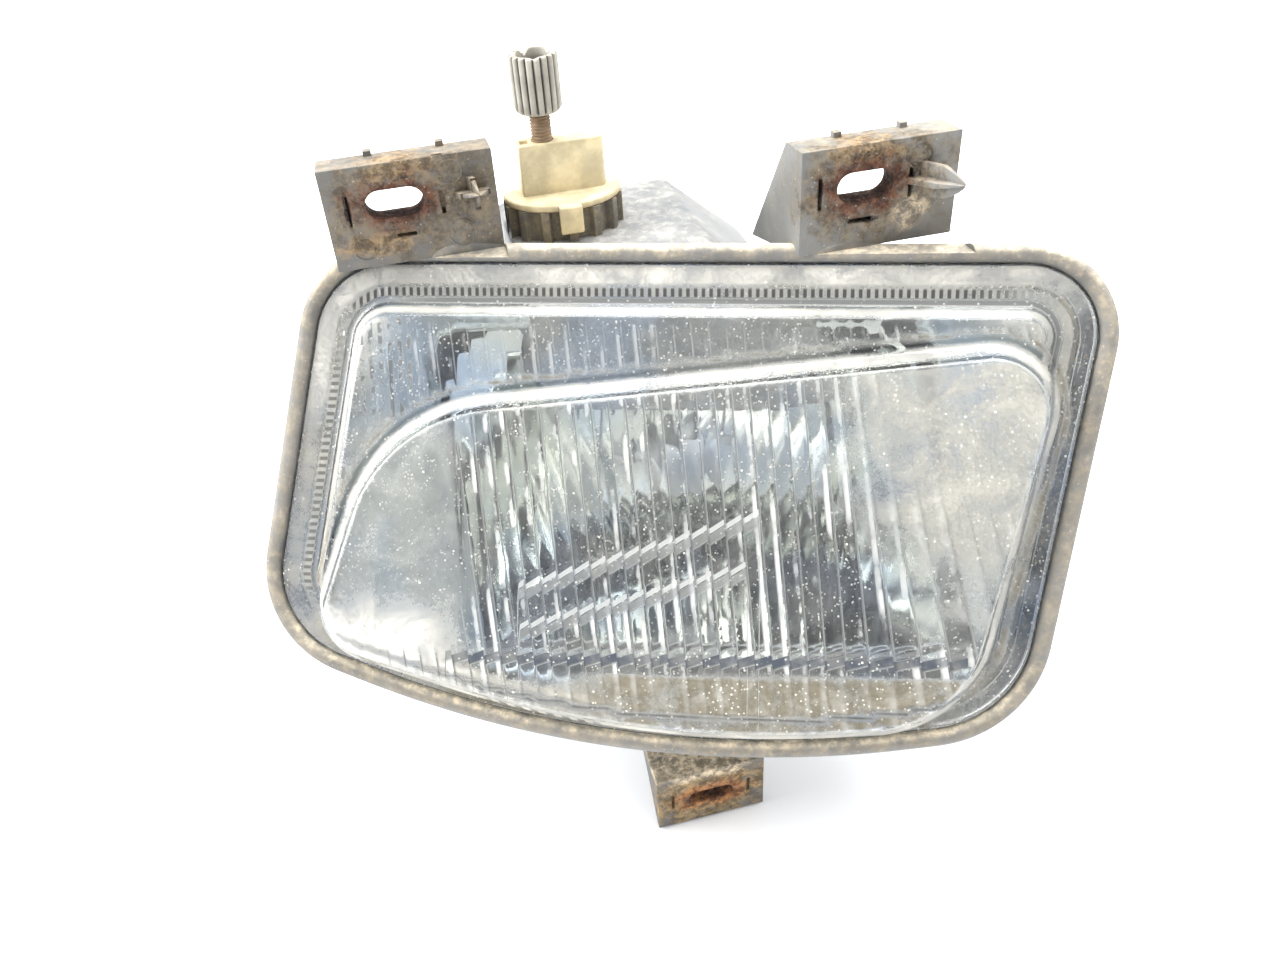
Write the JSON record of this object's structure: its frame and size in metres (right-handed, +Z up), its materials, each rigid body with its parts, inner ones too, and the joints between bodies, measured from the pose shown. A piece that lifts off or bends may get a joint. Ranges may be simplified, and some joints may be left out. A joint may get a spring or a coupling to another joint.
{
  "type": "fog light",
  "caption": "Car front fog lamp: swept fluted glass lens in a grey housing with slotted brackets, aiming screw, tilting reflector, bulb and rear cap.",
  "frame": {"origin": "midpoint between the two upper mounting slots, level with their centres, in the plane of the right-hand pad's front face", "axes": "+X right as seen from in front of the lamp, +Y back into the bumper, +Z up and along the aiming screw"},
  "size_m": [0.2003, 0.1517, 0.1886],
  "materials": {
    "grey_plastic": "blue-grey moulded plastic with tan dust",
    "lens_glass": "clear pressed glass with upright flutes, dusty",
    "sealant": "soft black sealant",
    "silver_trim": "silver coated plastic",
    "mirror_coat": "bright metal coating inside the bowl",
    "steel": "zinc plated steel",
    "shield_metal": "satin pressed metal",
    "bulb_glass": "clear quartz glass",
    "filament": "bare wire",
    "bulb_metal": "nickel plated",
    "contact_metal": "bare brass",
    "spring_steel": "bright spring wire",
    "black_plastic": "black moulded plastic",
    "red_wire": "red insulation",
    "black_wire": "black insulation",
    "seal_rubber": "matt black rubber",
    "cream_plastic": "cream moulded plastic with brown dirt",
    "dull_steel": "dull threaded steel with dirt in the thread",
    "pale_plastic": "pale grey moulded plastic",
    "nylon": "natural nylon"
  },
  "bodies": {
    "lamp": {"housing": "grey_plastic", "lens": "lens_glass", "lens_seal": "sealant", "bezel": "silver_trim", "lead_live": "red_wire", "lead_earth": "black_wire", "connector_shell": "black_plastic", "connector_seal": "seal_rubber", "connector_pins": "contact_metal", "vent_elbow": "seal_rubber", "adjuster_bush": "cream_plastic", "adjuster_seal": "seal_rubber", "pivot_pins": "steel"},
    "cap": {"rear_cap": "black_plastic", "cap_seal": "seal_rubber"},
    "lifter": {"adjuster_ball": "nylon"},
    "knob": {"adjuster_screw": "dull_steel", "adjuster_knob": "pale_plastic"},
    "optic": {"reflector": "mirror_coat", "bulb_seat": "steel", "seat_screws": "steel", "bulb_shield": "shield_metal", "bulb_glass": "bulb_glass", "bulb_filament": "filament", "bulb_base": "bulb_metal", "bulb_contact": "contact_metal", "lead_boot": "black_plastic", "earth_tab": "contact_metal", "ball_socket": "nylon", "pivot_bushes": "nylon"},
    "clip": {"bulb_clip": "spring_steel"}
  },
  "joints": [
    {"name": "screw_lift", "type": "slide", "parent": "lamp", "child": "lifter", "axis": [0, 0, 1], "range_m": [-0.0017, 0.0017]},
    {"name": "knob_turn", "type": "hinge", "parent": "lifter", "child": "knob", "pos_m": [-0.013, 0.0445, 0], "axis": [0, 0, 1], "range_deg": [-720, 720]},
    {"name": "reflector_tilt", "type": "hinge", "parent": "lamp", "child": "optic", "pos_m": [0, 0.01, -0.095], "axis": [1, 0, 0], "range_deg": [-2.65, 2.65], "deforming": ["lead_live", "lead_earth"]},
    {"name": "cap_twist", "type": "hinge", "parent": "lamp", "child": "cap", "pos_m": [0.012, 0.08, -0.074], "axis": [0, 1, 0], "range_deg": [0, 40]},
    {"name": "clip_swing", "type": "hinge", "parent": "optic", "child": "clip", "pos_m": [0.012, 0.0635, -0.0585], "axis": [1, 0, 0], "range_deg": [0, 25]}
  ],
  "couplings": [
    {"joint": "screw_lift", "follows": "reflector_tilt", "m_per_rad": 0.0345},
    {"joint": "knob_turn", "follows": "reflector_tilt", "ratio": 270.96}
  ]
}
